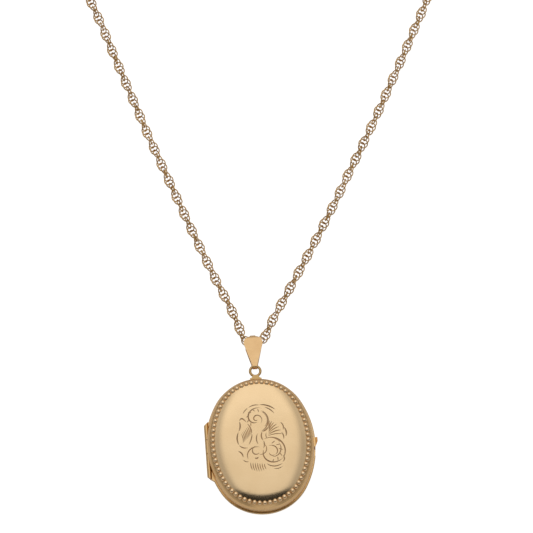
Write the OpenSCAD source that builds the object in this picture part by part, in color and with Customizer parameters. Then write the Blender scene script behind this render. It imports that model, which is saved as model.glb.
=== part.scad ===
// Oval two-sided photo locket on a rope-link chain, lying on its back.
// +Z is the beaded front, +Y runs from the locket's foot to its bail, and the
// hinge is on -X. The origin is the middle of the rear cover's flat rest face.

/* [Locket case] */
// Width of the oval case across the hinge side
case_w = 24.3; // [23.5:0.1:25]
// Height of the oval case
case_h = 31.1; // [30.5:0.1:32]
// Radius of the rounded ends of the oval
end_r = 10.9; // [10.8:0.05:11]
// Height of the parting line between the two halves
parting_z = 3.7; // [3.7:0.1:4]
// Gap between the closed halves
parting_gap = 0.08; // [0.06:0.02:0.1]
// Thickness of the cover sheet
sheet_t = 0.35; // [0.3:0.05:0.4]

/* [Bead border] */
// Number of beads round the front cover
bead_count = 68; // [60:1:70]
// Radius of one bead
bead_r = 0.49; // [0.4:0.01:0.5]
// Distance of the bead line inside the case edge
bead_inset = 1.65; // [1.6:0.05:1.7]

/* [Hinge and catch] */
// Distance of the hinge axis from the middle of the case
hinge_x = 11.7; // [11.65:0.05:11.8]
// Outer radius of the hinge knuckles
knuckle_r = 0.52; // [0.5:0.01:0.54]
// Radius of the hinge pin
pin_r = 0.24; // [0.22:0.01:0.26]
// Width of the thumb lip
lip_w = 2.15; // [1.65:0.1:2.65]

/* [Ring and bail] */
// Middle radius of the fixed suspension ring
ring_r = 1.14; // [1.1:0.02:1.2]
// Wire radius of the suspension ring
ring_wire = 0.29; // [0.26:0.01:0.3]
// Widest width of the bail
bail_w = 4.2; // [3.8:0.1:4.6]
// Length of the bail from its neck axis to the middle of its fold
bail_l = 6.45; // [6.3:0.05:6.6]
// Thickness of the bail strip
bail_t = 0.28; // [0.24:0.02:0.3]

/* [Chain and clasp] */
// Outer diameter of the chain
chain_d = 2.2; // [2:0.1:2.3]
// Turns in each of the two end coils
coil_turns = 1.5; // [1.5:1:2.5]
// Middle radius of a bolt ring
bolt_r = 2.2; // [2:0.1:2.4]
// Tube radius of the bolt ring
bolt_tube = 0.7; // [0.65:0.05:0.75]

/* [Hidden] */
$fn = 96;

gold = [0.89, 0.72, 0.49];
rich_gold = [0.80, 0.62, 0.38];
satin_gold = [0.84, 0.66, 0.44];

// The oval is four arcs that meet smoothly: two ends and two flatter sides.
end_c = case_h / 2 - end_r;
side_c = (end_c * end_c - pow(case_w / 2 - end_r, 2)) / (2 * (case_w / 2 - end_r));
side_r = case_w / 2 + side_c;
meet_a = atan2(end_c, side_c);

// Levels of the two halves
rear_top = parting_z - parting_gap / 2;
front_bottom = parting_z + parting_gap / 2;
rear_rim_h = 0.9;
front_rim_h = 0.86;
rim_w = 1.3;
front_in = 0.33;
core_in = 0.15;
lip_t = 0.3;
lip_h = 0.45;
lip_gap = 0.08;
lip_stop = 9.6;
lip_in = rim_w - lip_t - 0.05;
cover_in = 0.3;
rear_seat = rear_top - rear_rim_h;
front_seat = front_bottom + front_rim_h;
crown_z = 7.27;
crown_in = 7.6;
rest_in = 4.5;
nail_x = 11.75;
nail_y = [-3.05, 0.9];
frame_gap = 0.03;
frame_t = 0.2;
frame_w = 1.4;
frame_skirt = 0.27;
frame_deep = 0.65;
window_t = 0.22;
card_t = 0.25;
rear_face = 3.5;
front_face = 3.95;

// Hinge: knuckle ends along Y, from the bottom to the top
knuckle_y = [-7.3, -1.03, 2.08, 6.5];
knuckle_gap = 0.14;
knuckle_bore_gap = 0.04;
pin_y = [-6.5, 5.6];
notch_r = knuckle_r + 0.08;
leaf_in = rim_w - 0.1;

// Suspension ring and bail
ring_z = 3.25;
ring_y = case_h / 2 + 1.99;
neck_r = 0.42;
neck_wall = 0.18;
neck_w = 1.1;
neck_y = ring_y + ring_r - 0.08;
fold_r = 1.55;
bail_rest = 0.02;
bail_back_in = 0.35;
bail_slope = asin((ring_z - fold_r - bail_rest) / bail_l);

// Chain: the two end coils, and the way each end turns in to its clasp
coil_r = 13.1;
coil_pitch = 2.25;
coil_end_r = coil_r - coil_pitch * coil_turns;
tail_r = 4.5;
tail_a = 100;
left_coil = [-22, 125];
right_coil = [37, 121];
chain_z = 1.15;
chain_sides = 8;
jump_r = 0.8;
small_wire = 0.18;
jump_at = 0.85;
jump_z = 1;
eye_r = 0.75;
eye_at = 1.95;
bolt_at = 5.5;
bolt_z = bolt_tube + 0.02;
end_r_mid = 1.6;
end_wire = 0.28;
end_tilt = 11;

// Bolt ring, as angles round it from the way it points
gap_a = [35, 85];
bolt_a = [30, 104];
knob_a = 100;
bolt_travel = 55;
housing_end = 173;
bolt_hole = 0.45;
bolt_rod = 0.37;
knob_r = 0.14;

// Middle line of the chain from the left coil, through the bail, to the right
chain_route = [
    [-35.1, 125, 1.15], [-34.6, 120, 1.15], [-33.2, 115, 1.15], [-31.4, 109.5, 1.15],
    [-29.1, 103, 1.15], [-26.9, 96, 1.15], [-24.6, 89, 1.15], [-22.3, 82, 1.15],
    [-20, 75, 1.15], [-17.5, 68, 1.15], [-15, 61, 1.15], [-12.5, 54, 1.15],
    [-9.9, 47, 1.15], [-7, 39.5, 1.15], [-5.1, 35, 1.15], [-3.8, 31.5, 1.18],
    [-3.1, 29.4, 1.25], [-2.6, 27.8, 1.34], [-2.4, 26.5, 1.46], [-1.6, 25.3, 1.55],
    [-0.4, 24.7, 1.57], [0.8, 24.7, 1.57], [2, 25.2, 1.55], [2.8, 26.1, 1.46],
    [3.7, 28, 1.34], [5.7, 31.5, 1.18], [9.3, 37.4, 1.15], [13.3, 44, 1.15],
    [17.1, 50.5, 1.15], [20.8, 57, 1.15], [24.3, 63.5, 1.15], [27.9, 70, 1.15],
    [31.4, 76.5, 1.15], [34.7, 83, 1.15], [38, 89.5, 1.15], [41.2, 96, 1.15],
    [44.4, 102.5, 1.15], [47.2, 109, 1.15], [49.2, 115, 1.15], [50.1, 121, 1.15]
];

// ---- Oval helpers ----------------------------------------------------------

// The flat oval, drawn in by inset from the case edge
module oval(inset) {
    band = end_c + (end_r - inset) * sin(meet_a);
    for (s = [-1, 1]) translate([0, s * end_c]) circle(r = end_r - inset);
    intersection() {
        translate([-side_c, 0]) circle(r = side_r - inset);
        translate([side_c, 0]) circle(r = side_r - inset);
        square([case_w, 2 * band], center = true);
    }
}

// A flat plate of the oval's shape
module oval_plate(inset, z0, z1) {
    translate([0, 0, z0]) linear_extrude(z1 - z0) oval(inset);
}

// One turned arc of a section whose points are [inset, height]
module turned_arc(centre, radius, from, to, section) {
    translate([centre[0], centre[1], 0])
        rotate([0, 0, from])
            rotate_extrude(angle = to - from)
                polygon([for (p = section) [radius - p[0], p[1]]]);
}

// A plain ring between two insets
module oval_ring(outer, inner, z0, z1) {
    translate([0, 0, z0]) linear_extrude(z1 - z0) difference() {
        oval(outer);
        oval(inner);
    }
}

// The section carried right round the oval
module oval_sweep(section) {
    turned_arc([-side_c, 0], side_r, -meet_a, meet_a, section);
    turned_arc([0, end_c], end_r, meet_a, 180 - meet_a, section);
    turned_arc([side_c, 0], side_r, 180 - meet_a, 180 + meet_a, section);
    turned_arc([0, -end_c], end_r, 180 + meet_a, 360 - meet_a, section);
}

// A point at distance s along the oval, starting at the middle of the right side
function side_len(inset) = 2 * meet_a * PI / 180 * (side_r - inset);
function end_len(inset) = (180 - 2 * meet_a) * PI / 180 * (end_r - inset);
function oval_len(inset) = 2 * (side_len(inset) + end_len(inset));
function on_arc(centre, radius, angle) =
    [centre[0] + radius * cos(angle), centre[1] + radius * sin(angle)];
function oval_point(inset, s) =
    let (a = side_len(inset) / 2, b = a + end_len(inset), c = b + side_len(inset))
    s < a ? on_arc([-side_c, 0], side_r - inset, s / (side_r - inset) * 180 / PI)
    : s < b ? on_arc([0, end_c], end_r - inset,
                     meet_a + (s - a) / (end_r - inset) * 180 / PI)
    : s < c ? on_arc([side_c, 0], side_r - inset,
                     180 - meet_a + (s - b) / (side_r - inset) * 180 / PI)
    : s < c + end_len(inset) ? on_arc([0, -end_c], end_r - inset,
                     180 + meet_a + (s - c) / (end_r - inset) * 180 / PI)
    : on_arc([-side_c, 0], side_r - inset,
             -meet_a + (s - c - end_len(inset)) / (side_r - inset) * 180 / PI);

// ---- Swept tubes -----------------------------------------------------------

function unit(v) = v / norm(v);
function along(path, i) =
    unit(path[min(i + 1, len(path) - 1)] - path[max(i - 1, 0)]);

// A closed round tube along a path that is nowhere upright
module tube(path, r, sides) {
    last = len(path) - 1;
    points = [
        for (i = [0:last])
            let (t = along(path, i), u = unit(cross(t, [0, 0, 1])), w = cross(u, t))
            for (k = [0:sides - 1])
                path[i] + r * (cos(360 * (k + 0.5) / sides) * u
                               + sin(360 * (k + 0.5) / sides) * w)
    ];
    sides_faces = [
        for (i = [0:last - 1])
            for (k = [0:sides - 1])
                [i * sides + k, i * sides + (k + 1) % sides,
                 (i + 1) * sides + (k + 1) % sides, (i + 1) * sides + k]
    ];
    ends = [
        [for (k = [0:sides - 1]) sides - 1 - k],
        [for (k = [0:sides - 1]) last * sides + k]
    ];
    polyhedron(points, concat(sides_faces, ends), convexity = 6);
}

// A ring of round wire in the XY plane, centred on the origin
module wire_ring(r, wire) {
    rotate_extrude() translate([r, 0]) circle(r = wire, $fn = 32);
}

// ---- Rear half -------------------------------------------------------------

// Room for the hinge barrel, and for the rims to fold past each other
module hinge_notch() {
    translate([-hinge_x, knuckle_y[0] - knuckle_gap, parting_z])
        rotate([-90, 0, 0])
            cylinder(r = notch_r, h = knuckle_y[3] - knuckle_y[0] + 2 * knuckle_gap);
    translate([-hinge_x - 2, knuckle_y[0] - knuckle_gap, 0])
        cube([2, knuckle_y[3] - knuckle_y[0] + 2 * knuckle_gap, 2 * parting_z]);
}

// The hinge seen from the front, with both of its ends cut on a slant
module hinge_outline() {
    polygon([[-12.5, 5.13], [-12.5, -6.12], [-9, -8.5], [-9, 8.25]]);
}

// A knuckle of the hinge between two heights, on a leaf to its own rim
module knuckle(y0, y1, leaf_z0, leaf_z1, bore) {
    difference() {
        union() {
            translate([-hinge_x, y0, parting_z]) rotate([-90, 0, 0])
                cylinder(r = knuckle_r, h = y1 - y0);
            translate([0, 0, leaf_z0]) linear_extrude(leaf_z1 - leaf_z0) difference() {
                translate([-hinge_x, y0]) square([hinge_x, y1 - y0]);
                oval(leaf_in);
            }
        }
        translate([-hinge_x, y0 - 1, parting_z]) rotate([-90, 0, 0])
            cylinder(r = bore, h = y1 - y0 + 2);
        linear_extrude(2 * parting_z) difference() {
            translate([-hinge_x - 1, y0 - 1]) square([hinge_x, y1 - y0 + 2]);
            hinge_outline();
        }
    }
}

module rear_cover() {
    color(gold) difference() {
        union() {
            oval_sweep([
                [cover_in, rear_seat], [0.42, 2.3], [0.75, 1.6], [1.3, 0.95], [2, 0.5],
                [2.9, 0.18], [3.8, 0.03], [4.3, 0], [4.9, 0],
                [4.9, sheet_t], [4.3, sheet_t], [3.85, sheet_t + 0.03], [3, 0.52],
                [2.2, 0.81], [1.55, 1.2], [1.05, 1.78], [0.76, 2.4],
                [cover_in + sheet_t, rear_seat]
            ]);
            oval_plate(rest_in, 0, sheet_t);
        }
        hinge_notch();
    }
}

module rear_rim() {
    color(rich_gold) difference() {
        union() {
            oval_sweep([
                [0, rear_seat + 0.25], [0.08, rear_seat + 0.06], [cover_in, rear_seat],
                [rim_w, rear_seat], [rim_w, rear_top], [0.2, rear_top],
                [0.1, rear_top - 0.03], [0.03, rear_top - 0.1], [0, rear_top - 0.2]
            ]);
            oval_ring(core_in, rim_w - core_in, rear_seat + core_in, rear_top - core_in);
            difference() {
                oval_sweep([
                    [lip_in, rear_seat + 0.3], [rim_w - 0.05, rear_seat + 0.3],
                    [rim_w - 0.05, rear_top + lip_h], [lip_in + 0.08, rear_top + lip_h],
                    [lip_in, rear_top + lip_h - 0.1]
                ]);
                translate([-case_h, -case_h, rear_top])
                    cube([case_h - lip_stop, 2 * case_h, 2]);
            }
        }
        hinge_notch();
        translate([nail_x, nail_y[0], rear_seat + 0.1])
            cube([1, nail_y[1] - nail_y[0], rear_rim_h]);
    }
}

// The bezel that holds a picture: a flat face with a skirt behind it
module picture_frame(face, behind) {
    outer = rim_w + frame_gap;
    flat = [face, face + behind * frame_t];
    skirt = [face, face + behind * frame_deep];
    oval_ring(outer, outer + frame_w, min(flat), max(flat));
    oval_ring(outer, outer + frame_skirt, min(skirt), max(skirt));
}

module rear_frame() {
    color(gold) picture_frame(rear_face, -1);
}

module rear_window() {
    top = rear_face - frame_t;
    color([0.9, 0.93, 0.95, 0.35])
        oval_plate(rim_w + frame_gap + frame_skirt + 0.02, top - window_t, top);
}

module rear_card() {
    top = rear_face - frame_t - window_t;
    color([0.93, 0.91, 0.86])
        oval_plate(rim_w + frame_gap + frame_skirt + 0.05, top - card_t, top);
}

module hinge_knuckle_top() {
    color(gold) knuckle(knuckle_y[2] + knuckle_gap, knuckle_y[3], rear_seat,
                        rear_top - 0.02, pin_r);
}

module hinge_knuckle_bottom() {
    color(gold) knuckle(knuckle_y[0], knuckle_y[1] - knuckle_gap, rear_seat,
                        rear_top - 0.02, pin_r);
}

module hinge_pin() {
    color(rich_gold) translate([-hinge_x, pin_y[0], parting_z]) rotate([-90, 0, 0])
        cylinder(r = pin_r, h = pin_y[1] - pin_y[0]);
}

module suspension_ring() {
    color(gold) translate([0, ring_y, ring_z]) wire_ring(ring_r, ring_wire);
}

// The flared saddle that joins the ring to the rear rim
module ring_foot() {
    foot_w = 2.6;
    foot_h = 0.6;
    flare = 0.65;
    y0 = case_h / 2 - 0.35;
    y1 = ring_y - ring_r + 0.1;
    color(gold) translate([0, 0, ring_z - foot_h / 2]) linear_extrude(foot_h) difference() {
        translate([-foot_w / 2, y0]) square([foot_w, y1 - y0]);
        for (s = [-1, 1]) translate([s * foot_w / 2, y1 + 0.02]) circle(r = flare);
    }
}

// ---- Front half ------------------------------------------------------------

module front_cover() {
    edge = front_in + 0.02;
    color(gold) difference() {
        union() {
            oval_sweep([
                [edge, front_seat], [0.4, 5.05], [0.54, 5.5], [0.78, 5.88], [1.08, 6.15],
                [1.3, 6.28], [2.05, 6.36], [2.15, 6.42], [2.6, 6.66], [3.2, 6.88],
                [4.2, 7.07], [5.4, 7.19], [6.8, 7.26], [7.3, crown_z], [7.9, crown_z],
                [7.9, crown_z - sheet_t], [7.3, crown_z - sheet_t], [6.8, 6.91],
                [5.4, 6.84], [4.3, 6.74], [3.35, 6.56], [2.75, 6.36], [2.35, 6.1],
                [2.2, 5.98], [1.4, 5.92], [1.2, 5.76], [1, 5.5], [0.82, 5.1],
                [edge + sheet_t, front_seat]
            ]);
            oval_plate(crown_in, crown_z - sheet_t, crown_z);
        }
        hinge_notch();
    }
}

module bead_border() {
    bead_z = 6.68;
    core_w = 0.15;
    pitch = oval_len(bead_inset) / bead_count;
    color(gold) {
        oval_ring(bead_inset - core_w, bead_inset + core_w, 6.3, 6.5);
        oval_sweep([
            [bead_inset - 0.3, 6.25], [bead_inset + 0.3, 6.25],
            [bead_inset + 0.25, 6.55], [bead_inset - 0.25, 6.55]
        ]);
        for (i = [0:bead_count - 1]) {
            p = oval_point(bead_inset, i * pitch);
            translate([p[0], p[1], bead_z]) sphere(r = bead_r, $fn = 24);
        }
    }
}

module front_rim() {
    low_w = lip_in - lip_gap;
    step_z = rear_top + lip_h + lip_gap;
    color(rich_gold) difference() {
        union() {
            oval_sweep([
                [front_in, front_bottom + 0.05], [front_in + 0.05, front_bottom],
                [low_w, front_bottom], [low_w, step_z], [rim_w, step_z],
                [rim_w, front_seat], [front_in + 0.02, front_seat],
                [front_in, front_seat - 0.4]
            ]);
            oval_ring(front_in + core_in, low_w - core_in, front_bottom + core_in,
                      front_seat - core_in);
        }
        hinge_notch();
    }
}

module front_frame() {
    color(gold) picture_frame(front_face, 1);
}

module front_window() {
    bottom = front_face + frame_t;
    color([0.9, 0.93, 0.95, 0.35])
        oval_plate(rim_w + frame_gap + frame_skirt + 0.02, bottom, bottom + window_t);
}

module front_card() {
    bottom = front_face + frame_t + window_t;
    color([0.93, 0.91, 0.86])
        oval_plate(rim_w + frame_gap + frame_skirt + 0.05, bottom, bottom + card_t);
}

module hinge_knuckle_middle() {
    color(gold) knuckle(knuckle_y[1], knuckle_y[2], front_bottom + 0.02, front_seat,
                        pin_r + knuckle_bore_gap);
}

// The small nail lip on the catch side, cut on a slant below
module thumb_lip() {
    half = lip_w / 2;
    color(gold) translate([case_w / 2 - front_in, 0, front_bottom + 0.06]) intersection() {
        translate([0, half, 0]) rotate([90, 0, 0]) linear_extrude(lip_w)
            polygon([
                [-0.5, 0], [0.35, 0], [0.82, 0.22], [0.74, 0.5], [0.3, 0.34], [-0.5, 0.34]
            ]);
        linear_extrude(1)
            polygon([[-1, half], [0.9, half], [0.9, 0.4], [0.23, -half], [-1, -half]]);
    }
}

// ---- Bail ------------------------------------------------------------------

// Points round part of a circle
function arc_points(centre, r, from, to, steps) = [
    for (i = [0:steps])
        centre + r * [cos(from + (to - from) * i / steps),
                      sin(from + (to - from) * i / steps)]
];

// Side view of the folded strip: a neck round the ring, two leaves and a fold
module bail_side() {
    neck = neck_r + neck_wall;
    lean = asin((fold_r - neck) / bail_l);
    bore = fold_r - bail_t;
    fold = [bail_l, 0];
    shut = 1.1;
    shut_h = neck - bail_t + shut * sin(lean);
    difference() {
        polygon(concat(arc_points([0, 0], neck, 90 + lean, 270 - lean, 12),
                       arc_points(fold, fold_r, -90 - lean, 90 + lean, 20)));
        circle(r = neck_r);
        polygon(concat([[shut, shut_h], [shut, -shut_h]],
                       arc_points(fold, bore, -90 - lean, 90 + lean, 20)));
    }
}

// Front view of the bail: a teardrop that narrows to its neck, and the strap at
// its top that folds over the chain
module bail_front(wide) {
    tall = 1.75;
    wide_at = bail_l - 0.9;
    low = 0.66;
    low_at = 0.4;
    strap_w = 1.2;
    lean = asin((wide - low) / (wide_at - low_at) * tall / wide);
    polygon(concat(
        [[-neck_w / 2, -1], [neck_w / 2, -1], [neck_w / 2, low_at - 0.1], [low, low_at]],
        [for (p = arc_points([0, 0], 1, -lean, 180 + lean, 32))
            [wide * p[0], wide_at + tall * p[1]]],
        [[-low, low_at], [-neck_w / 2, low_at - 0.1]]));
    translate([-strap_w / 2, wide_at])
        square([strap_w, bail_l + fold_r + 1 - wide_at]);
}

module bail() {
    color(satin_gold) translate([0, neck_y, ring_z]) rotate([-bail_slope, 0, 0])
        intersection() {
            translate([-bail_w, 0, 0]) rotate([90, 0, 90]) linear_extrude(2 * bail_w)
                bail_side();
            union() {
                linear_extrude(3) bail_front(bail_w / 2);
                translate([0, 0, -3]) linear_extrude(3) bail_front(bail_w / 2 - bail_back_in);
            }
        }
}

// ---- Chain and clasp -------------------------------------------------------

module chain_run() {
    color(rich_gold) tube(chain_route, chain_d / 2, chain_sides);
}

module coil_solid(centre) {
    inner = coil_end_r - chain_d / 2;
    color(rich_gold) translate([centre[0], centre[1], 0])
        rotate_extrude() translate([inner, chain_z - chain_d / 2])
            square([coil_r + chain_d / 2 - inner, chain_d]);
}

// Where a coil's inner end turns in: the last point, and the way it heads.
// side is 1 for the right coil and -1 for the left one.
function tail_centre(coil, side) = coil - side * [coil_end_r - tail_r, 0];
function tail_point(coil, side, a) =
    tail_centre(coil, side) + tail_r * [-side * cos(a), -sin(a)];
function tail_heading(side) = [side * sin(tail_a), -cos(tail_a)];

module chain_tail(coil, side) {
    steps = 5;
    color(rich_gold) tube(
        [for (i = [0:steps]) let (p = tail_point(coil, side, tail_a * i / steps))
            [p[0], p[1], chain_z]],
        chain_d / 2, chain_sides);
}

// Moves to a distance past the end of a tail, with +X along the way it heads
module past_tail(coil, side, distance, z) {
    p = tail_point(coil, side, tail_a);
    h = tail_heading(side);
    translate([p[0] + h[0] * distance, p[1] + h[1] * distance, z])
        rotate([0, 0, atan2(h[1], h[0])]) children();
}

module jump_ring(coil, side) {
    color(rich_gold) past_tail(coil, side, jump_at, jump_z)
        rotate([90, 0, 0]) wire_ring(jump_r, small_wire);
}

module bolt_ring_eye() {
    color(rich_gold) past_tail(left_coil, -1, eye_at, bolt_z)
        wire_ring(eye_r, small_wire);
}

// Part of a round bar bent round the bolt ring
module ring_bar(r, from, to) {
    rotate([0, 0, from]) rotate_extrude(angle = to - from)
        translate([bolt_r, 0]) circle(r = r, $fn = 32);
}

module bolt_ring_body() {
    slot_h = 2 * knob_r + 0.06;
    color(rich_gold) past_tail(left_coil, -1, bolt_at, bolt_z) difference() {
        ring_bar(bolt_tube, gap_a[1], gap_a[0] + 360);
        ring_bar(bolt_hole, gap_a[1] - 1, housing_end);
        ring_bar(bolt_hole, bolt_a[0] - 4, gap_a[0] + 1);
        rotate([0, 0, knob_a - 5]) rotate_extrude(angle = bolt_travel + 10)
            translate([bolt_r, -slot_h / 2]) square([1, slot_h]);
    }
}

// The sprung bolt that closes the gap, with its thumb knob
module bolt_ring_trigger() {
    color(gold) past_tail(left_coil, -1, bolt_at, bolt_z) {
        ring_bar(bolt_rod, bolt_a[0], bolt_a[1]);
        rotate([0, 0, knob_a]) translate([bolt_r, 0, 0]) rotate([0, 90, 0]) {
            cylinder(r = knob_r, h = 0.9);
            translate([0, 0, 0.75]) cylinder(r = 0.32, h = 0.25);
        }
    }
}

module bolt_ring_spring() {
    turns = 9;
    steps = 8;
    coil = 0.3;
    from = bolt_a[1] + 1.5;
    to = housing_end - 1.5;
    path = [
        for (i = [0:turns * steps])
            let (a = from + (to - from) * i / (turns * steps), b = 360 * i / steps,
                 r = bolt_r + coil * cos(b))
            [r * cos(a), r * sin(a), coil * sin(b)]
    ];
    color("silver") past_tail(left_coil, -1, bolt_at, bolt_z) tube(path, 0.07, 6);
}

// The tag ring that the bolt ring hooks into, leaning on its far edge
module end_ring() {
    z = end_wire + 0.02 + end_r_mid * sin(end_tilt);
    color(rich_gold) past_tail(right_coil, 1, jump_at + 0.27 + end_r_mid, z)
        rotate([0, end_tilt, 0]) wire_ring(end_r_mid, end_wire);
}

rear_cover();
rear_rim();
rear_frame();
rear_window();
rear_card();
hinge_knuckle_top();
hinge_knuckle_bottom();
hinge_pin();
suspension_ring();
ring_foot();
front_cover();
bead_border();
front_rim();
front_frame();
front_window();
front_card();
hinge_knuckle_middle();
thumb_lip();
bail();
chain_run();
coil_solid(left_coil);  // chain_coil_left
coil_solid(right_coil);  // chain_coil_right
chain_tail(left_coil, -1);  // chain_tail_left
chain_tail(right_coil, 1);  // chain_tail_right
jump_ring(left_coil, -1);  // clasp_jump_ring
bolt_ring_eye();
bolt_ring_body();
bolt_ring_trigger();
bolt_ring_spring();
jump_ring(right_coil, 1);  // end_jump_ring
end_ring();
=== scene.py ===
import math

import bpy
import numpy as np
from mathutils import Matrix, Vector


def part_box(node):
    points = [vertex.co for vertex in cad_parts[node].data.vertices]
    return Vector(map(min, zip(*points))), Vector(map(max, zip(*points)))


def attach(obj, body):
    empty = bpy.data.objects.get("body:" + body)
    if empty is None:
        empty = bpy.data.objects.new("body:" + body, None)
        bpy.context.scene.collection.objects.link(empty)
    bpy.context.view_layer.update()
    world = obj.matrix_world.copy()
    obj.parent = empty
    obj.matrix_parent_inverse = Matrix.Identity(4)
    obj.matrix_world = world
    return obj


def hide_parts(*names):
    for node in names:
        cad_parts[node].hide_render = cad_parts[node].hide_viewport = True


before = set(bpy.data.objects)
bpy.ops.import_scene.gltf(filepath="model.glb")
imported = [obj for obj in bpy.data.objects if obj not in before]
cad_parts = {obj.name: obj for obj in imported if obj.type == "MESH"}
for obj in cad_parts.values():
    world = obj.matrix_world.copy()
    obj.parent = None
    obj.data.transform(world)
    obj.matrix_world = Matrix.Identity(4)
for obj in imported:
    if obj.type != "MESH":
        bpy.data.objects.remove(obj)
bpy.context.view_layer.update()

MM = 0.001


def size_of(node):
    """A CAD node's lowest and highest corners, in millimetres."""
    lo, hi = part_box(node)
    return np.array(lo) / MM, np.array(hi) / MM


# ---- Camera ----------------------------------------------------------------

VIEW_AZIMUTH = math.radians(-4)
VIEW_ELEVATION = math.radians(71.1)
VIEW_DISTANCE = 1.2
VIEW_TARGET = (0.0042, 0.0417, 0.0037)
LENS = 363


def make_camera():
    """A long lens, looking down at the locket from its foot."""
    data = bpy.data.cameras.new("camera")
    data.lens = LENS
    data.clip_start = 0.05
    data.clip_end = 20
    camera = bpy.data.objects.new("camera", data)
    bpy.context.scene.collection.objects.link(camera)
    back = Vector((
        math.sin(VIEW_AZIMUTH) * math.cos(VIEW_ELEVATION),
        -math.cos(VIEW_AZIMUTH) * math.cos(VIEW_ELEVATION),
        math.sin(VIEW_ELEVATION),
    ))
    camera.location = Vector(VIEW_TARGET) + back * VIEW_DISTANCE
    camera.rotation_euler = (-back).to_track_quat("-Z", "Y").to_euler()
    bpy.context.scene.camera = camera


make_camera()

# ---- Materials -------------------------------------------------------------


class Nodes:
    """Short calls for building a node tree."""

    def __init__(self, tree):
        self.tree = tree
        tree.nodes.clear()

    def add(self, kind, **values):
        node = self.tree.nodes.new(kind)
        for key, value in values.items():
            if hasattr(node, key):
                setattr(node, key, value)
            else:
                node.inputs[key.replace("_", " ")].default_value = value
        return node

    def link(self, source, target):
        self.tree.links.new(source, target)

    def ramp(self, source, stops):
        node = self.add("ShaderNodeValToRGB")
        elements = node.color_ramp.elements
        while len(elements) < len(stops):
            elements.new(0.5)
        for element, (place, value) in zip(elements, stops):
            element.position = place
            element.color = (*value, 1) if len(value) == 3 else value
        self.link(source, node.inputs["Fac"])
        return node.outputs["Color"]

    def times(self, first, second):
        node = self.add("ShaderNodeMix", data_type="RGBA", blend_type="MULTIPLY")
        node.inputs["Factor"].default_value = 1.0
        self.link(first, node.inputs["A"])
        self.link(second, node.inputs["B"])
        return node.outputs["Result"]


def new_material(name):
    material = bpy.data.materials.new(name)
    material.use_nodes = True
    return material, Nodes(material.node_tree)


def grey(value):
    return (value, value, value)


# Painted shade: the darker brown laid into the engraved cuts, standing in for the shade that
# falls in them
CUT_SHADE_TONE = (0.5, 0.31, 0.17)


def gold(name, base, shade, rough, brush=0.0, cut=False):
    """Polished gold: cloudy tone, fine hairlines, and soft dents from wear.

    base and shade are the tones it wanders between, rough its lowest and
    highest roughness, and brush the strength of the hairlines. With cut, the
    engraved cuts get painted shade: a darker brown mixed in by their depth.
    """
    material, n = new_material(name)
    place = n.add("ShaderNodeTexCoord").outputs["Object"]
    cloud = n.add("ShaderNodeTexNoise", Scale=170.0, Detail=3.0)
    n.link(place, cloud.inputs["Vector"])
    tone = n.ramp(cloud.outputs["Fac"], [(0.36, shade), (0.62, base)])
    grain = 900
    stretch = n.add("ShaderNodeMapping")
    stretch.inputs["Scale"].default_value = (grain, grain * 9, grain * 3)
    stretch.inputs["Rotation"].default_value = (0, 0, math.radians(14))
    n.link(place, stretch.inputs["Vector"])
    hairs = n.add("ShaderNodeTexNoise", Scale=1.0, Detail=4.0)
    n.link(stretch.outputs["Vector"], hairs.inputs["Vector"])
    low, high = rough
    polish = n.ramp(hairs.outputs["Fac"], [(0.3, grey(low)), (0.75, grey(high))])
    bump = n.add("ShaderNodeBump", Strength=0.12 + brush, Distance=0.00002)
    n.link(hairs.outputs["Fac"], bump.inputs["Height"])
    wear = n.add("ShaderNodeTexNoise", Scale=420.0, Detail=2.0)
    n.link(place, wear.inputs["Vector"])
    dents = n.add("ShaderNodeBump", Strength=0.25, Distance=0.00003)
    n.link(wear.outputs["Fac"], dents.inputs["Height"])
    n.link(bump.outputs["Normal"], dents.inputs["Normal"])
    shader = n.add("ShaderNodeBsdfPrincipled", Metallic=1.0)
    # Painted shade in the engraving: the base colour is mixed towards the dark cut tone by the
    # depth of each cut
    if cut:
        mark = n.add("ShaderNodeAttribute", attribute_name="cut")
        blend = n.add("ShaderNodeMix", data_type="RGBA")
        n.link(mark.outputs["Fac"], blend.inputs["Factor"])
        n.link(tone, blend.inputs["A"])
        blend.inputs["B"].default_value = (*CUT_SHADE_TONE, 1)
        tone = blend.outputs["Result"]
    n.link(tone, shader.inputs["Base Color"])
    n.link(polish, shader.inputs["Roughness"])
    n.link(dents.outputs["Normal"], shader.inputs["Normal"])
    out = n.add("ShaderNodeOutputMaterial")
    n.link(shader.outputs["BSDF"], out.inputs["Surface"])
    return material


POLISHED = gold("polished_gold", (0.81, 0.59, 0.34), (0.78, 0.56, 0.315), (0.13, 0.2), cut=True)
PLAIN = gold("plain_gold", (0.86, 0.62, 0.34), (0.82, 0.57, 0.29), (0.14, 0.24))
RIM = gold("rim_gold", (0.80, 0.53, 0.25), (0.72, 0.46, 0.20), (0.14, 0.26))
# A warmer, deeper copy of the cover gold for the side wall and the rear shell: painted
# reflection, standing in for the warm reflections the polished side band shows
WALL_GOLD_REFLECTION_TINT = gold("wall_gold_reflection_tint", (0.87, 0.57, 0.28), (0.82, 0.52, 0.24), (0.12, 0.2))
BEAD = gold("bead_gold", (0.88, 0.63, 0.37), (0.82, 0.56, 0.31), (0.14, 0.22))
BAIL = gold("bail_gold", (0.82, 0.55, 0.28), (0.76, 0.49, 0.24), (0.30, 0.42), brush=0.3)
# The chain's gold is darker than the locket's: painted shade for the shade among its close links
CHAIN_GOLD_SHADED = gold("chain_gold", (0.71, 0.46, 0.20), (0.61, 0.38, 0.15), (0.12, 0.22))
# A darker copy of the gold for the ring, its foot and the hinge pin: painted shade in place of
# the shading their curves catch
RING_GOLD_SHADED = gold("ring_gold_shaded", (0.66, 0.43, 0.20), (0.56, 0.36, 0.15), (0.16, 0.28))
CLASP = gold("clasp_gold", (0.78, 0.53, 0.26), (0.70, 0.46, 0.21), (0.14, 0.24))


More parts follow.
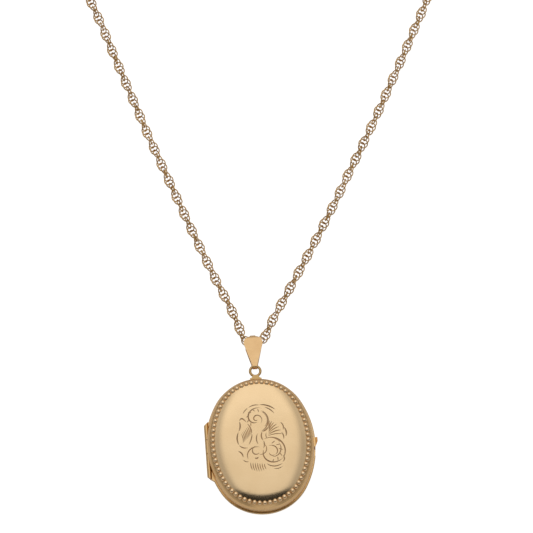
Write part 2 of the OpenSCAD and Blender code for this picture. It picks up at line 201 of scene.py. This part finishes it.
def spring_steel():
    material, n = new_material("spring_steel")
    place = n.add("ShaderNodeTexCoord").outputs["Object"]
    noise = n.add("ShaderNodeTexNoise", Scale=2500.0, Detail=3.0)
    n.link(place, noise.inputs["Vector"])
    shader = n.add("ShaderNodeBsdfPrincipled", Metallic=1.0)
    n.link(n.ramp(noise.outputs["Fac"], [(0.3, grey(0.42)), (0.7, grey(0.58))]),
           shader.inputs["Base Color"])
    n.link(n.ramp(noise.outputs["Fac"], [(0.3, grey(0.25)), (0.7, grey(0.4))]),
           shader.inputs["Roughness"])
    out = n.add("ShaderNodeOutputMaterial")
    n.link(shader.outputs["BSDF"], out.inputs["Surface"])
    return material


def card_paper():
    """Uncoated ivory card with paper fibres and a faint age tint."""
    material, n = new_material("card_paper")
    place = n.add("ShaderNodeTexCoord").outputs["Object"]
    fibre = n.add("ShaderNodeTexNoise", Scale=2600.0, Detail=6.0, Roughness=0.7)
    n.link(place, fibre.inputs["Vector"])
    age = n.add("ShaderNodeTexNoise", Scale=120.0, Detail=2.0)
    n.link(place, age.inputs["Vector"])
    shader = n.add("ShaderNodeBsdfPrincipled", Roughness=0.85)
    n.link(n.ramp(age.outputs["Fac"], [(0.3, (0.80, 0.74, 0.62)), (0.7, (0.86, 0.82, 0.72))]),
           shader.inputs["Base Color"])
    bump = n.add("ShaderNodeBump", Strength=0.35, Distance=0.00003)
    n.link(fibre.outputs["Fac"], bump.inputs["Height"])
    n.link(bump.outputs["Normal"], shader.inputs["Normal"])
    out = n.add("ShaderNodeOutputMaterial")
    n.link(shader.outputs["BSDF"], out.inputs["Surface"])
    return material


def clear_window():
    """Clear acetate: see-through, with a soft sheen at low angles and faint rubs."""
    material, n = new_material("clear_window")
    place = n.add("ShaderNodeTexCoord").outputs["Object"]
    rub = n.add("ShaderNodeTexNoise", Scale=900.0, Detail=4.0)
    n.link(place, rub.inputs["Vector"])
    clear = n.add("ShaderNodeBsdfTransparent", Color=(0.97, 0.98, 0.98, 1))
    sheen = n.add("ShaderNodeBsdfAnisotropic", Color=(1, 1, 1, 1))
    n.link(n.ramp(rub.outputs["Fac"], [(0.45, grey(0.05)), (0.8, grey(0.22))]),
           sheen.inputs["Roughness"])
    slant = n.add("ShaderNodeLayerWeight", Blend=0.5).outputs["Facing"]
    share = n.ramp(slant, [(0.3, grey(0.03)), (0.7, grey(0.1)), (1.0, grey(0.6))])
    mix = n.add("ShaderNodeMixShader")
    n.link(share, mix.inputs[0])
    n.link(clear.outputs[0], mix.inputs[1])
    n.link(sheen.outputs[0], mix.inputs[2])
    out = n.add("ShaderNodeOutputMaterial")
    n.link(mix.outputs[0], out.inputs["Surface"])
    return material


STEEL = spring_steel()
CARD = card_paper()
WINDOW = clear_window()

# ---- Mesh helpers ----------------------------------------------------------


def make_piece(name, points, faces, material, body, replaces=(), attribute=None):
    """A smooth mesh piece from points in millimetres, riding on a CAD body."""
    mesh = bpy.data.meshes.new(name)
    mesh.from_pydata((np.asarray(points) * MM).tolist(), [], faces)
    mesh.materials.append(material)
    mesh.polygons.foreach_set("use_smooth", [True] * len(mesh.polygons))
    if attribute is not None:
        layer = mesh.attributes.new("cut", "FLOAT", "POINT")
        layer.data.foreach_set("value", np.asarray(attribute, dtype=np.float32))
    mesh.update()
    piece = bpy.data.objects.new(name, mesh)
    bpy.context.scene.collection.objects.link(piece)
    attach(piece, body)
    if replaces:
        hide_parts(*replaces)
    return piece


def closed_faces(rows, columns):
    """Quads between closed rows of points, and a face over the first and last row."""
    faces = [
        (r * columns + c, r * columns + (c + 1) % columns,
         (r + 1) * columns + (c + 1) % columns, (r + 1) * columns + c)
        for r in range(rows - 1) for c in range(columns)
    ]
    faces.append(tuple(range(columns))[::-1])
    faces.append(tuple(range((rows - 1) * columns, rows * columns)))
    return faces


def unit(vectors):
    return vectors / np.linalg.norm(vectors, axis=-1, keepdims=True)


def distances(line):
    """How far along a line each of its points lies."""
    return np.concatenate([[0], np.cumsum(np.linalg.norm(np.diff(line, axis=0), axis=1))])


def along_line(line, run, places):
    """The points at those distances along a line, where run is distances(line)."""
    return np.column_stack([np.interp(places, run, part) for part in line.T])


def smooth_path(points, step):
    """A round curve through the points, as points about a step apart."""
    p = np.asarray(points, float)
    p = np.vstack([2 * p[0] - p[1], p, 2 * p[-1] - p[-2]])
    out = []
    for a, b, c, d in zip(p[:-3], p[1:-2], p[2:-1], p[3:]):
        knots = np.cumsum([0] + [math.sqrt(np.linalg.norm(v)) for v in (b - a, c - b, d - c)])
        count = max(2, int(np.linalg.norm(c - b) / step))
        for t in np.linspace(knots[1], knots[2], count, endpoint=False):
            ab = a + (b - a) * (t - knots[0]) / (knots[1] - knots[0])
            bc = b + (c - b) * (t - knots[1]) / (knots[2] - knots[1])
            cd = c + (d - c) * (t - knots[2]) / (knots[3] - knots[2])
            abc = ab + (bc - ab) * (t - knots[0]) / (knots[2] - knots[0])
            bcd = bc + (cd - bc) * (t - knots[1]) / (knots[3] - knots[1])
            out.append(abc + (bcd - abc) * (t - knots[1]) / (knots[2] - knots[1]))
    out.append(p[-2])
    return np.array(out)


# ---- Chain -----------------------------------------------------------------

# Middle line of the chain between its two end coils, in metres
CHAIN_ROUTE = [
    (-0.0351, 0.125, 0.00115), (-0.0346, 0.12, 0.00115), (-0.0332, 0.115, 0.00115),
    (-0.0314, 0.1095, 0.00115), (-0.0291, 0.103, 0.00115), (-0.0269, 0.096, 0.00115),
    (-0.0246, 0.089, 0.00115), (-0.0223, 0.082, 0.00115), (-0.02, 0.075, 0.00115),
    (-0.0175, 0.068, 0.00115), (-0.015, 0.061, 0.00115), (-0.0125, 0.054, 0.00115),
    (-0.0099, 0.047, 0.00115), (-0.007, 0.0395, 0.00115), (-0.0051, 0.035, 0.00115),
    (-0.0038, 0.0315, 0.00118), (-0.0031, 0.0294, 0.00125), (-0.0026, 0.0278, 0.00134),
    (-0.0024, 0.0265, 0.00146), (-0.0016, 0.0253, 0.00155), (-0.0004, 0.0247, 0.00157),
    (0.0008, 0.0247, 0.00157), (0.002, 0.0252, 0.00155), (0.0028, 0.0261, 0.00146),
    (0.0037, 0.028, 0.00134), (0.0057, 0.0315, 0.00118), (0.0093, 0.0374, 0.00115),
    (0.0133, 0.044, 0.00115), (0.0171, 0.0505, 0.00115), (0.0208, 0.057, 0.00115),
    (0.0243, 0.0635, 0.00115), (0.0279, 0.07, 0.00115), (0.0314, 0.0765, 0.00115),
    (0.0347, 0.083, 0.00115), (0.038, 0.0895, 0.00115), (0.0412, 0.096, 0.00115),
    (0.0444, 0.1025, 0.00115), (0.0472, 0.109, 0.00115), (0.0492, 0.115, 0.00115),
    (0.0501, 0.121, 0.00115),
]
# Coils, tails and links, in millimetres
COIL_TURNS = 1.5
COIL_R = 13.1
COIL_PITCH = 2.25
COIL_STEPS = 60
ROUTE_STEP = 0.8
TAIL_R = 4.5
TAIL_TURN = math.radians(100)
TAIL_STEPS = 14
LINK_R = 1.0
LINK_WIRE = 0.135
LINK_PITCH = 0.875
LINK_TWIST = 36.9
LINK_STEPS = 32
WIRE_STEPS = 10
LINK_MARGIN = 0.5


def coil_centre(side):
    lo, hi = size_of("chain_coil_right" if side > 0 else "chain_coil_left")
    return (lo + hi) / 2


def coil_path(side):
    """From the coil's outer edge inwards, then round to the clasp at its middle."""
    middle = coil_centre(side)
    z = CHAIN_ROUTE[0][2] / MM
    turn = np.linspace(0, 2 * math.pi * COIL_TURNS, int(COIL_STEPS * COIL_TURNS))
    r = COIL_R - COIL_PITCH * turn / (2 * math.pi)
    spiral = np.column_stack([side * r * np.cos(turn), r * np.sin(turn)])
    end_r = COIL_R - COIL_PITCH * COIL_TURNS
    bend = np.linspace(0, TAIL_TURN, TAIL_STEPS)[1:]
    tail = np.column_stack([
        -side * (end_r - TAIL_R + TAIL_R * np.cos(bend)), -TAIL_R * np.sin(bend),
    ])
    flat = np.vstack([spiral, tail]) + middle[:2]
    return np.column_stack([flat, np.full(len(flat), z)])


def chain_path():
    """The whole middle line, from the bolt ring's end to the plain ring's end."""
    route = smooth_path(np.array(CHAIN_ROUTE) / MM, ROUTE_STEP)
    return np.vstack([coil_path(-1)[::-1], route[1:-1], coil_path(1)])


def resample(path, places):
    """Points and directions at distances along a path."""
    run = distances(path)
    half_chord = 0.5
    ahead = along_line(path, run, places + half_chord)
    behind = along_line(path, run, places - half_chord)
    return along_line(path, run, places), unit(ahead - behind)


def make_chain():
    """Round links, each through its two neighbours on either side, that turn
    about the chain's line by the same angle from link to link."""
    path = chain_path()
    length = np.linalg.norm(np.diff(path, axis=0), axis=1).sum()
    count = round((length - 2 * LINK_MARGIN) / LINK_PITCH) + 1
    places = np.linspace(LINK_MARGIN, length - LINK_MARGIN, count)
    twist = round(LINK_TWIST * (count - 1) / 180) * math.pi / (count - 1)
    at, along = resample(path, places)
    across = unit(np.cross(along, (0, 0, 1)))
    up = np.cross(across, along)
    angle = (np.arange(count) * twist)[:, None]
    side = np.cos(angle) * across + np.sin(angle) * up
    normal = np.cross(along, side)
    around, tube = LINK_STEPS, WIRE_STEPS
    u = np.linspace(0, 2 * math.pi, around, endpoint=False)
    v = np.linspace(0, 2 * math.pi, tube, endpoint=False)
    uu, vv = (g.ravel() for g in np.meshgrid(u, v, indexing="ij"))
    reach_out = LINK_R + LINK_WIRE * np.cos(vv)
    local = np.column_stack([
        reach_out * np.cos(uu), reach_out * np.sin(uu), LINK_WIRE * np.sin(vv),
    ])
    axes = np.stack([along, side, normal], axis=1)
    points = (at[:, None, :] + np.einsum("pk,lkx->lpx", local, axes)).reshape(-1, 3)
    one = [
        (i * tube + j, ((i + 1) % around) * tube + j,
         ((i + 1) % around) * tube + (j + 1) % tube, i * tube + (j + 1) % tube)
        for i in range(around) for j in range(tube)
    ]
    size = around * tube
    faces = [tuple(k * size + i for i in face) for k in range(count) for face in one]
    # the links wear the darker chain gold, whose darkness is painted shade
    chain = make_piece(
        "rope_chain", points, faces, CHAIN_GOLD_SHADED, "bail",
        ("chain_run", "chain_coil_left", "chain_coil_right", "chain_tail_left",
         "chain_tail_right"))


make_chain()

# ---- The oval --------------------------------------------------------------

COVER_LO, COVER_HI = size_of("front_cover")
REAR_HI = size_of("rear_cover")[1]
# The case edge: half its width and height, and the radius of its top and foot
HALF_W = 12.15
HALF_H = 15.55
END_R = 10.9
# The covers stop at this x beside the hinge
HINGE_CUT = -11.69
# Distances of the end and side arcs' centres, the side radius, and where they meet
END_C = HALF_H - END_R
SIDE_C = (END_C ** 2 - (HALF_W - END_R) ** 2) / (2 * (HALF_W - END_R))
SIDE_R = HALF_W + SIDE_C
MEET = math.atan2(END_C, SIDE_C)


def oval_directions(count):
    """Evenly spread (arc centre, arc radius, direction) round the case."""
    arcs = [
        ((-SIDE_C, 0), SIDE_R, -MEET, MEET),
        ((0, END_C), END_R, MEET, math.pi - MEET),
        ((SIDE_C, 0), SIDE_R, math.pi - MEET, math.pi + MEET),
        ((0, -END_C), END_R, math.pi + MEET, 2 * math.pi - MEET),
    ]
    total = sum(r * (b - a) for _, r, a, b in arcs)
    centres, radii, angles = [], [], []
    for centre, r, a, b in arcs:
        share = round(count * r * (b - a) / total)
        turn = a + (b - a) * (np.arange(share) + 0.5) / share
        centres += [centre] * share
        radii += [r] * share
        angles += list(turn)
    angles = np.array(angles)
    return np.array(centres), np.array(radii), np.column_stack([np.cos(angles), np.sin(angles)])


def oval_row(directions, inset, z):
    """One closed row of points at that distance inside the case edge."""
    centres, radii, normals = directions
    flat = centres + (radii - inset)[:, None] * normals
    return np.column_stack([flat, np.full(len(flat), z)])


def inset_of(x, y):
    """How far inside the case edge each point lies."""
    x, y = np.abs(x), np.abs(y)
    end = y > math.tan(MEET) * (x + SIDE_C)
    return np.where(end, END_R - np.hypot(x, y - END_C), SIDE_R - np.hypot(x + SIDE_C, y))


def curve(knots, steps):
    """A smooth line through (inset, height) knots."""
    flat = np.column_stack([np.asarray(knots, float), np.zeros(len(knots))])
    coarse_step = 1000
    run = distances(smooth_path(flat, coarse_step)[:, :2])
    fine = smooth_path(flat, run[-1] / steps / 4)[:, :2]
    run = distances(fine)
    return along_line(fine, run, np.linspace(0, run[-1], steps))


# ---- Engraving -------------------------------------------------------------


def spiral(cx, cy, r0, r1, a0, a1, n=48):
    """A volute whose radius grows evenly in proportion, angles in degrees."""
    t = np.linspace(0, 1, n)
    r = r0 * (r1 / r0) ** t
    a = np.radians(a0 + (a1 - a0) * t)
    return np.column_stack([cx + r * np.cos(a), cy + r * np.sin(a)])


def sweep(p0, p1, p2, n=16):
    """A plain curved stroke from p0 to p2 that leans towards p1."""
    t = np.linspace(0, 1, n)[:, None]
    p0, p1, p2 = (np.array(p, float) for p in (p0, p1, p2))
    return (1 - t) ** 2 * p0 + 2 * t * (1 - t) * p1 + t ** 2 * p2


def engraving():
    """(stroke, widest width, depth) for a generic leafy scroll."""
    wide, fine, hair = 0.3, 0.23, 0.17
    strokes = [
        # top volute, the double line on its right and its inner curl
        (spiral(-0.75, 5.2, 3.0, 2.3, -75, 60, 40), wide, 0.11),
        (spiral(-0.85, 5.5, 2.6, 1.0, 55, 290, 60), wide, 0.11),
        (spiral(-0.7, 5.3, 1.5, 0.3, -60, 330, 60), fine, 0.1),
        (spiral(-0.3, 5.1, 2.1, 1.9, -60, 75, 30), hair, 0.08),
        (sweep((0.4, 2.3), (1.2, 2.4), (1.9, 3.4)), wide, 0.1),
        # crest
        (sweep((0.1, 8.5), (2.1, 8.6), (3.7, 7.1)), wide, 0.1),
        (sweep((1.2, 7.9), (2.6, 7.5), (3.4, 6.2)), fine, 0.09),
        (sweep((-2.4, 7.9), (-1.2, 8.8), (0.3, 8.4)), fine, 0.08),
        (sweep((-3.6, 6.6), (-3.3, 7.4), (-2.3, 8.0)), hair, 0.08),
        # lower right volute and its curl
        (spiral(2.1, -2.3, 3.2, 3.0, 118, -45, 60), wide, 0.11),
        (spiral(2.1, -2.4, 2.95, 1.7, -30, -200, 60), wide, 0.11),
        (spiral(2.3, -2.4, 1.5, 1.0, 120, -60, 40), fine, 0.1),
        (spiral(2.2, -2.5, 1.0, 0.6, -40, -170, 30), hair, 0.08),
        (spiral(2.2, -2.0, 2.3, 1.6, 50, -95, 40), fine, 0.09),
        (sweep((2.2, 0.8), (3.6, 0.7), (4.2, -0.4)), wide, 0.11),
        # lower left volute and its curl
        (spiral(-1.3, -3.2, 2.1, 1.9, 60, 205, 50), fine, 0.1),
        (spiral(-1.1, -2.2, 1.3, 0.5, 100, 330, 40), fine, 0.09),
        (spiral(-0.3, -1.7, 1.2, 1.5, -120, 60, 30), hair, 0.08),
        (sweep((-1.6, -3.6), (-1.3, -4.0), (-0.8, -3.5)), wide, 0.11),
        # spine that joins the scrolls
        (sweep((0.4, 2.3), (-0.2, 1.2), (0.5, 0.2)), wide, 0.1),
        (sweep((0.5, 0.2), (0.9, -0.6), (0.4, -1.6)), fine, 0.09),
        (sweep((1.3, 2.0), (0.9, 1.2), (1.5, 0.5)), hair, 0.08),
        (sweep((-0.6, 2.0), (-1.4, 0.6), (-0.6, -0.7)), fine, 0.09),
        # left leaf
        (sweep((-2.9, 4.6), (-4.0, 6.3), (-4.5, 5.0)), wide, 0.1),
        (sweep((-4.5, 5.0), (-4.1, 3.8), (-4.8, 2.6)), wide, 0.1),
        (sweep((-4.8, 2.6), (-5.6, 1.0), (-4.9, -0.5)), wide, 0.11),
        (sweep((-4.9, -0.5), (-4.2, -1.4), (-3.0, -1.2)), fine, 0.1),
        (sweep((-2.8, 4.4), (-1.9, 3.4), (-1.9, 2.0)), fine, 0.09),
        (sweep((-1.9, 2.0), (-1.9, 0.8), (-2.8, -0.6)), fine, 0.09),
        # outer commas on the left
        (sweep((-5.2, -1.9), (-4.2, -2.2), (-4.2, -3.4)), wide, 0.11),
        (sweep((-4.3, -3.8), (-3.7, -4.6), (-3.0, -4.4)), hair, 0.08),
        # right commas
        (sweep((4.5, 4.2), (5.4, 3.6), (5.0, 2.3)), fine, 0.1),
        (sweep((5.2, 3.1), (6.0, 2.0), (5.5, 0.8)), wide, 0.1),
        (sweep((4.6, 1.9), (5.2, 1.2), (5.0, 0.2)), fine, 0.1),
        # foot
        (sweep((0.8, -5.0), (2.3, -6.5), (4.6, -5.2)), fine, 0.1),
        (sweep((2.2, -6.4), (3.5, -6.6), (4.4, -5.9)), hair, 0.08),
        (sweep((4.6, -3.4), (5.2, -4.2), (4.4, -5.0)), fine, 0.09),
    ]
    for i in range(7):  # hatching inside the left leaf
        x = -4.3 + 0.3 * i
        top = 2.2 + 0.3 * i
        strokes.append((sweep((x, top), (x + 0.55, top - 1.0), (x + 0.35, top - 2.4)),
                        hair, 0.085))
    for i in range(7):  # fan to the right of the spine
        a = math.radians(4 + 13 * i)
        root = np.array((1.5 + 0.08 * i, 1.2 + 0.25 * i))
        reach = 3.4 - 0.22 * i
        tip = root + reach * np.array((math.cos(a), math.sin(a)))
        lean = root + 0.6 * reach * np.array((math.cos(a + 0.28), math.sin(a + 0.28)))
        strokes.append((sweep(root, lean, tip), fine if i % 2 else hair, 0.09))
    for i in range(7):  # fringe under the lower left volute
        x = -2.6 + 0.5 * i
        low = -6.5 - 0.45 * math.sin(math.pi * i / 6)
        strokes.append((sweep((x, -4.5 - 0.1 * i), (x - 0.15, -5.6), (x + 0.35, low)),
                        hair, 0.09))
    for i in range(6):  # short cuts inside the lower right volute
        a = math.radians(85 - 32 * i)
        inner, outer = 1.75, 2.6
        strokes.append((sweep(
            (2.1 + inner * math.cos(a), -2.4 + inner * math.sin(a)),
            (2.1 + 2.2 * math.cos(a - 0.15), -2.4 + 2.2 * math.sin(a - 0.15)),
            (2.1 + outer * math.cos(a - 0.3), -2.4 + outer * math.sin(a - 0.3))), hair, 0.08))
    for i in range(6):  # short cuts round the top volute
        a = math.radians(60 + 32 * i)
        inner, outer = 1.5, 2.2
        strokes.append((sweep(
            (-0.8 + inner * math.cos(a), 5.5 + inner * math.sin(a)),
            (-0.8 + 1.85 * math.cos(a + 0.15), 5.5 + 1.85 * math.sin(a + 0.15)),
            (-0.8 + outer * math.cos(a + 0.3), 5.5 + outer * math.sin(a + 0.3))), hair, 0.08))
    return strokes


ENGRAVE_AT = (0.1, -0.1)
# Cut depth at which the painted shade in the engraving reaches full strength
CUT_SHADE_FULL = 0.075


def engraved_depth(x, y):
    """Depth of the cut at each point: a V along every stroke, fine at both ends."""
    depth = np.zeros_like(x)
    for stroke, width, deep in engraving():
        stroke = stroke + ENGRAVE_AT
        lo, hi = stroke.min(axis=0) - width, stroke.max(axis=0) + width
        near = np.nonzero((x > lo[0]) & (x < hi[0]) & (y > lo[1]) & (y < hi[1]))[0]
        if not len(near):
            continue
        p = np.column_stack([x[near], y[near]])
        best = np.full(len(near), 9.0)
        place = np.zeros(len(near))
        for k, (a, b) in enumerate(zip(stroke[:-1], stroke[1:])):
            along = b - a
            t = np.clip(((p - a) @ along) / (along @ along), 0, 1)
            gap = np.linalg.norm(p - a - t[:, None] * along, axis=1)
            closer = gap < best
            best = np.where(closer, gap, best)
            place = np.where(closer, (k + t) / (len(stroke) - 1), place)
        swell = np.sin(math.pi * np.clip(place, 0.02, 0.98)) ** 0.6
        cut = deep * swell * np.clip(1.25 - 1.25 * best / (0.5 * width * swell), 0, 1)
        depth[near] = np.maximum(depth[near], cut)
    return depth


# ---- Covers ----------------------------------------------------------------

SHEET = 0.35
REAR_FLAT_IN = 4.4
FIELD_IN = 2.1
FIELD_EDGE = 6.59
SHOULDER = 1.55
DOME = 0.2
FRONT_COLUMNS = 960
FIELD_ROWS = 230
LINING_ROWS = 40
REAR_COLUMNS = 480


def field_height(x, y, crown):
    """The raised middle of the front cover: a rounded shoulder, then a low dome."""
    d = np.maximum(inset_of(x, y) - FIELD_IN, 0)
    drop = crown - FIELD_EDGE - 0.7 * DOME
    dome = DOME * ((x / HALF_W) ** 2 + (y / HALF_H) ** 2)
    return crown - drop * np.exp(-d / SHOULDER) - dome


def make_front_cover():
    """The front shell: wall, shoulder, engraved field and the plain inside."""
    directions = oval_directions(FRONT_COLUMNS)
    columns = len(directions[1])
    foot = COVER_LO[2]
    crown = COVER_HI[2]
    outer = curve([(0.35, foot), (0.4, 5.05), (0.54, 5.45), (0.78, 5.79), (1.08, 6.05),
                   (1.4, 6.25), (1.75, 6.43), (FIELD_IN, FIELD_EDGE)], 30)
    inner = curve([(0.7, foot), (0.75, 5.0), (0.95, 5.45), (1.2, 5.8), (1.6, 5.96),
                   (2.3, 6.02)], 14)
    rows = [oval_row(directions, d, z) for d, z in outer]
    cuts = [np.zeros(columns)] * len(rows)
    edge = rows[-1][:, :2]
    for t in np.linspace(1, 0.004, FIELD_ROWS)[1:]:
        flat = edge * t
        x, y = flat[:, 0], flat[:, 1]
        depth = engraved_depth(x, y)
        rows.append(np.column_stack([flat, field_height(x, y, crown) - depth]))
        # the cut's depth, kept as the mask for the painted shade in the engraving
        cuts.append(np.clip(depth / CUT_SHADE_FULL, 0, 1))
    lining = oval_row(directions, *inner[-1])[:, :2]
    under = [oval_row(directions, d, z) for d, z in inner]
    for t in np.linspace(1, 0.01, LINING_ROWS)[1:]:
        flat = lining * t
        under.append(np.column_stack([
            flat, np.maximum(field_height(flat[:, 0], flat[:, 1], crown) - SHEET, inner[-1][1])]))
    rows = under[::-1] + rows
    cuts = [np.zeros(columns)] * len(under) + cuts
    points = np.vstack(rows)
    points[:, 0] = np.maximum(points[:, 0], HINGE_CUT)
    faces = closed_faces(len(rows), columns)
    shell = make_piece("front_cover_shell", points, faces, POLISHED, "front_half",
                       ("front_cover",), np.concatenate(cuts))
    # The side wall rows take the warmer wall gold, whose tint is painted reflection
    shell.data.materials.append(WALL_GOLD_REFLECTION_TINT)
    first = len(under) * columns
    for i in range(first, first + (len(outer) - 1) * columns):
        shell.data.polygons[i].material_index = 1


def make_rear_cover():
    """The rear shell: a plain rounded back with a flat middle."""
    directions = oval_directions(REAR_COLUMNS)
    columns = len(directions[1])
    foot = REAR_HI[2]
    outer = curve([(0.3, foot), (0.34, 2.5), (0.52, 2.0), (0.85, 1.45), (1.3, 0.95),
                   (2.0, 0.5), (2.9, 0.18), (3.7, 0.04), (REAR_FLAT_IN, 0.0)], 40)
    inner = curve([(REAR_FLAT_IN, SHEET), (3.8, 0.39), (3.0, 0.54), (2.2, 0.84), (1.6, 1.2),
                   (1.15, 1.68), (0.8, 2.3), (0.65, foot)], 24)
    flat = oval_row(directions, REAR_FLAT_IN, 0)[:, :2]
    rows = [np.column_stack([flat * t, np.full(columns, SHEET)])
            for t in np.linspace(0.02, 1, 16)[:-1]]
    rows += [oval_row(directions, d, z) for d, z in inner]
    rows += [oval_row(directions, d, z) for d, z in outer]
    rows += [np.column_stack([flat * t, np.zeros(columns)])
             for t in np.linspace(1, 0.02, 16)[1:]]
    faces = closed_faces(len(rows), columns)
    points = np.vstack(rows)
    points[:, 0] = np.maximum(points[:, 0], HINGE_CUT)
    # The rear shell is all in the warmer wall gold, whose tint is painted reflection
    make_piece("rear_cover_shell", points, faces, WALL_GOLD_REFLECTION_TINT, "rear_half",
               ("rear_cover",))


# ---- Bead border -----------------------------------------------------------

BEAD_COUNT = 68
BEAD_IN = 1.65
BEAD_LINE_STEPS = 6000
BEAD_STEPS = 28
BEAD_SECTION = [(0.54, 6.15), (0.53, 6.38), (0.5, 6.52), (0.43, 6.64), (0.31, 6.73),
                (0.15, 6.78), (0.01, 6.79)]


def bead_centres():
    """Evenly spaced places along the bead line."""
    line = oval_row(oval_directions(BEAD_LINE_STEPS), BEAD_IN, 0)[:, :2]
    closed = np.vstack([line, line[:1]])
    run = distances(closed)
    return along_line(closed, run, (np.arange(BEAD_COUNT) + 0.5) * run[-1] / BEAD_COUNT)


def make_beads():
    """Low round domes that stand in the cover's shoulder."""
    around = BEAD_STEPS
    a = np.linspace(0, 2 * math.pi, around, endpoint=False)
    rows = [np.column_stack([q * np.cos(a), q * np.sin(a), np.full(around, z)])
            for q, z in curve(BEAD_SECTION, 16)]
    one = np.vstack(rows)
    one_faces = closed_faces(len(rows), around)
    points, faces = [], []
    for x, y in bead_centres():
        start = len(points) * len(one)
        points.append(one + (x, y, 0))
        faces += [tuple(start + i for i in face) for face in one_faces]
    make_piece("bead_border_grains", np.vstack(points), faces, BEAD, "front_half",
               ("bead_border",))


# ---- Picture windows -------------------------------------------------------

PANE_IN = 1.64
PANE_EASE = 0.04
PANE_COLUMNS = 360
CARD_GAP = 0.05


def make_window(node, body, off_bottom, off_top):
    """A thin clear pane with eased edges, standing just clear of its card."""
    lo, hi = size_of(node)
    z0, z1 = lo[2] + off_bottom, hi[2] - off_top
    directions = oval_directions(PANE_COLUMNS)
    section = [(PANE_IN + PANE_EASE, z0), (PANE_IN, z0 + PANE_EASE),
               (PANE_IN, z1 - PANE_EASE), (PANE_IN + PANE_EASE, z1)]
    rows = [oval_row(directions, d, z) for d, z in section]
    columns = len(directions[1])
    faces = closed_faces(len(rows), columns)
    pane = make_piece(node + "_pane", np.vstack(rows), faces, WINDOW, body, (node,))
    pane.data.polygons.foreach_set("use_smooth", [False] * len(faces))


make_front_cover()
make_rear_cover()
make_beads()
make_window("rear_window", "rear_half", CARD_GAP, 0)
make_window("front_window", "front_half", 0, CARD_GAP)

# ---- Carried-over CAD parts ------------------------------------------------

FINISHES = {
    RIM: ("rear_rim", "front_rim", "hinge_knuckle_top", "hinge_knuckle_bottom",
          "hinge_knuckle_middle", "thumb_lip"),
    # the ring, its foot and the hinge pin take the darker ring gold: painted shade
    RING_GOLD_SHADED: ("suspension_ring", "ring_foot", "hinge_pin"),
    PLAIN: ("rear_frame", "front_frame"),
    BAIL: ("bail",),
    CLASP: ("clasp_jump_ring", "bolt_ring_eye", "bolt_ring_body", "bolt_ring_trigger",
            "end_jump_ring", "end_ring"),
    STEEL: ("bolt_ring_spring",),
    CARD: ("rear_card", "front_card"),
}
for finish, names in FINISHES.items():
    for node_name in names:
        for material_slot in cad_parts[node_name].material_slots:
            material_slot.material = finish

# ---- Stage -----------------------------------------------------------------


def make_floor():
    """A plain white table top that looks white and throws back a softer light."""
    mesh = bpy.data.meshes.new("floor")
    half = 2.0
    mesh.from_pydata([(-half, -half, 0), (half, -half, 0), (half, half, 0), (-half, half, 0)],
                     [], [(0, 1, 2, 3)])
    material, n = new_material("floor")
    seen = n.add("ShaderNodeLightPath").outputs["Is Camera Ray"]
    white = n.add("ShaderNodeBsdfDiffuse", Color=(0.4, 0.4, 0.4, 1))
    lift = n.add("ShaderNodeEmission", Strength=0.95)
    bright = n.add("ShaderNodeAddShader")
    n.link(white.outputs[0], bright.inputs[0])
    n.link(lift.outputs[0], bright.inputs[1])
    matt = n.add("ShaderNodeBsdfDiffuse", Color=(0.8, 0.79, 0.77, 1))
    glow = n.add("ShaderNodeEmission", Strength=0.14)
    soft = n.add("ShaderNodeAddShader")
    n.link(matt.outputs[0], soft.inputs[0])
    n.link(glow.outputs[0], soft.inputs[1])
    mix = n.add("ShaderNodeMixShader")
    n.link(seen, mix.inputs[0])
    n.link(soft.outputs[0], mix.inputs[1])
    n.link(bright.outputs[0], mix.inputs[2])
    out = n.add("ShaderNodeOutputMaterial")
    n.link(mix.outputs[0], out.inputs["Surface"])
    mesh.materials.append(material)
    floor = bpy.data.objects.new("floor", mesh)
    bpy.context.scene.collection.objects.link(floor)


# Direction of the middle of the tent's dark opening for the lens
OPENING = (-0.0226, -0.323, 0.946)


def make_world():
    """A white tent: bright overhead, dimmer towards the table, with a dark opening."""
    world = bpy.data.worlds.new("tent")
    world.use_nodes = True
    bpy.context.scene.world = world
    n = Nodes(world.node_tree)
    place = n.add("ShaderNodeTexCoord").outputs["Generated"]
    split = n.add("ShaderNodeSeparateXYZ")
    n.link(place, split.inputs[0])
    lean = n.add("ShaderNodeMath", operation="MULTIPLY_ADD")
    n.link(split.outputs["Y"], lean.inputs[0])
    lean.inputs[1].default_value = 0.45
    n.link(split.outputs["Z"], lean.inputs[2])
    tent = n.ramp(lean.outputs[0], [
        (0.0, (0.66, 0.65, 0.63)), (0.3, (0.55, 0.54, 0.52)), (0.5, (0.38, 0.37, 0.36)),
        (0.68, (0.62, 0.61, 0.60)),
        (0.82, (1.0, 1.0, 1.0)), (1.0, (1.08, 1.08, 1.08)),
    ])
    across = n.add("ShaderNodeMath", operation="ABSOLUTE")
    n.link(split.outputs["X"], across.inputs[0])
    sides = n.ramp(across.outputs[0], [(0.22, grey(1.0)), (0.42, grey(0.58)), (1.0, grey(0.8))])
    back = n.ramp(split.outputs["Y"], [(0.0, grey(0.84)), (0.25, grey(0.85)), (0.4, grey(1.04))])
    shade = n.times(n.times(tent, sides), back)
    toward = n.add("ShaderNodeVectorMath", operation="SUBTRACT")
    n.link(place, toward.inputs[0])
    toward.inputs[1].default_value = OPENING
    squeeze = n.add("ShaderNodeVectorMath", operation="MULTIPLY")
    n.link(toward.outputs["Vector"], squeeze.inputs[0])
    squeeze.inputs[1].default_value = (0.5, 1.0, 1.0)
    reach = n.add("ShaderNodeVectorMath", operation="LENGTH")
    n.link(squeeze.outputs["Vector"], reach.inputs[0])
    gap = n.ramp(reach.outputs["Value"], [(0.24, grey(0.05)), (0.31, grey(1.0))])
    shader = n.add("ShaderNodeBackground")
    n.link(n.times(shade, gap), shader.inputs["Color"])
    out = n.add("ShaderNodeOutputWorld")
    n.link(shader.outputs[0], out.inputs["Surface"])


make_floor()
make_world()
bpy.context.scene.view_settings.view_transform = "Standard"
